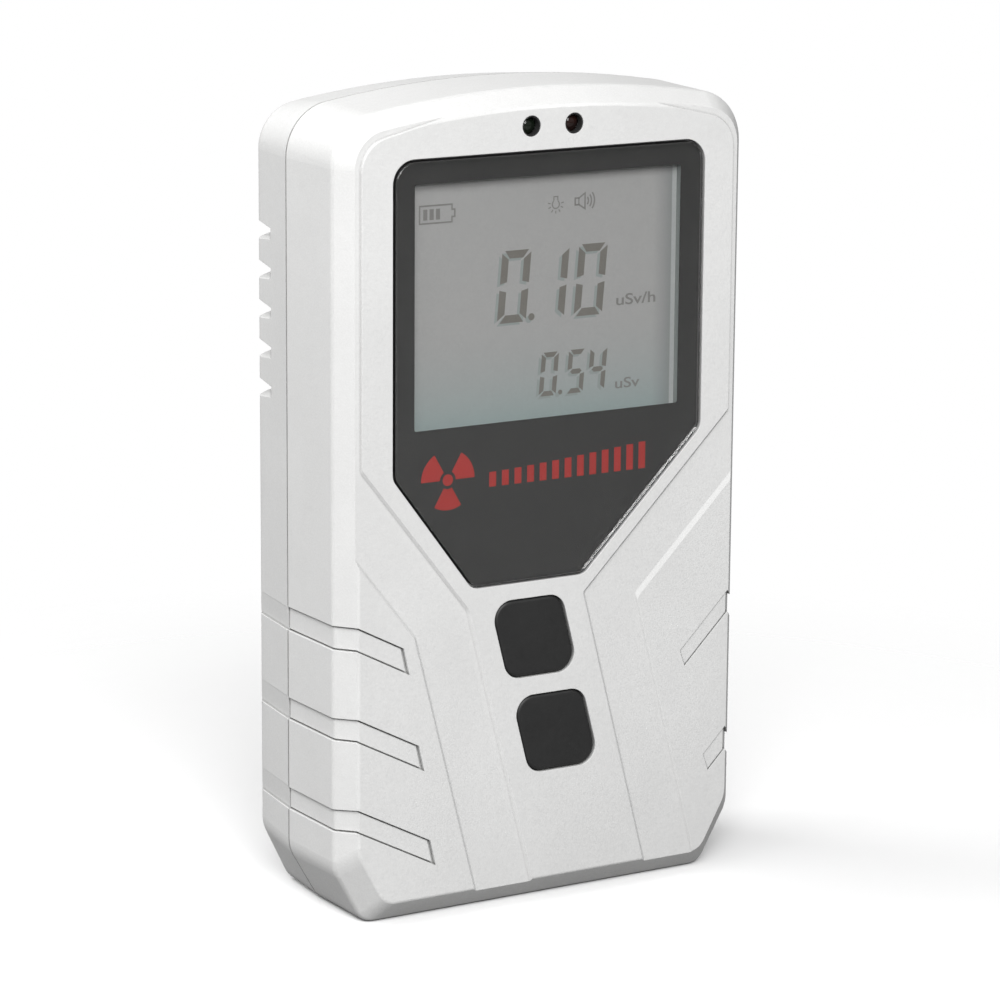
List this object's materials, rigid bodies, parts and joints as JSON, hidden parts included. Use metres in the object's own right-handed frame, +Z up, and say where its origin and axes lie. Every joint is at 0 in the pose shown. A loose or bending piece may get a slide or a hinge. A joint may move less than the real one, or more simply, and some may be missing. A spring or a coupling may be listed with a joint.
{
  "type": "geiger counter",
  "caption": "Pocket radiation dose meter with a silver two-shell case, cut lower corners, a black-backed display window, leaning push buttons and indicator lamps.",
  "frame": {"origin": "middle of the bounding box in plan, on the surface that the base stands on", "axes": "+Z up from the base to the crown, +Y from the display towards the back, +X to the right when facing the display"},
  "size_m": [0.06, 0.025, 0.1054],
  "materials": {
    "silver_case": "fine-grained silver paint on moulded ABS",
    "window_clear": "polished clear acrylic",
    "window_print": "black ink printed on the window's back",
    "adhesive_tape": "thin foam tape",
    "black_button": "satin black moulded plastic",
    "display_glass": "grey polarised display glass",
    "lamp_sleeve": "matt black moulded tube",
    "light_guide": "milky acrylic",
    "carrier_plastic": "off-white moulded plastic",
    "connector_rubber": "layered silicone rubber",
    "circuit_board": "green solder mask on glass laminate",
    "green_lamp": "green-tinted clear epoxy",
    "red_lamp": "red-tinted clear epoxy",
    "switch_plastic": "black moulded plastic",
    "switch_key": "tan moulded plastic",
    "steel": "nickel-plated steel",
    "tube_metal": "drawn stainless steel",
    "tube_cap": "black sealing cap",
    "contact_spring": "bright nickel-plated spring steel",
    "sounder_case": "black moulded plastic",
    "ferrite": "dark sintered ferrite",
    "copper_wire": "lacquered copper wire",
    "film_capacitor": "dipped red-brown epoxy",
    "can_sleeve": "dark blue shrink sleeve",
    "chip_epoxy": "black moulded epoxy",
    "cell_wrap": "dark printed cell wrap with a copper-coloured band"
  },
  "bodies": {
    "case": {"front_shell": "silver_case", "rear_shell": "silver_case", "window_panel": "window_clear", "window_mask": "window_print", "window_adhesive": "adhesive_tape", "lcd_cell": "display_glass", "lcd_backlight": "light_guide", "lcd_frame": "carrier_plastic", "lcd_rubber_connector": "connector_rubber", "main_board": "circuit_board", "lamp_sleeves": "lamp_sleeve", "lamp_green": "green_lamp", "lamp_red": "red_lamp", "switch_upper_body": "switch_plastic", "switch_lower_body": "switch_plastic", "counting_tube": "tube_metal", "tube_end_caps": "tube_cap", "tube_clips": "contact_spring", "sounder": "sounder_case", "high_voltage_core": "ferrite", "high_voltage_winding": "copper_wire", "film_capacitors": "film_capacitor", "smoothing_capacitor": "can_sleeve", "clock_crystal": "steel", "controller_chip": "chip_epoxy", "cell_left": "cell_wrap", "cell_right": "cell_wrap", "battery_bridge_plate": "contact_spring", "battery_end_plates": "contact_spring", "battery_springs": "contact_spring", "case_screws": "steel", "board_screws": "steel", "door_hinge_pin": "steel"},
    "button_upper": {"button_upper": "black_button", "switch_upper_plunger": "switch_key"},
    "button_lower": {"button_lower": "black_button", "switch_lower_plunger": "switch_key"},
    "battery_door": {"battery_door": "silver_case"}
  },
  "joints": [
    {"name": "upper_button_press", "type": "slide", "parent": "case", "child": "button_upper", "axis": [0, 1, 0], "range_m": [0, 0.0005], "stiffness_N_per_m": 3200},
    {"name": "lower_button_press", "type": "slide", "parent": "case", "child": "button_lower", "axis": [0, 1, 0], "range_m": [0, 0.0005], "stiffness_N_per_m": 3200},
    {"name": "battery_door_hinge", "type": "hinge", "parent": "case", "child": "battery_door", "pos_m": [0, 0.01135, 0.0609], "axis": [1, 0, 0], "range_deg": [0, 90]}
  ]
}
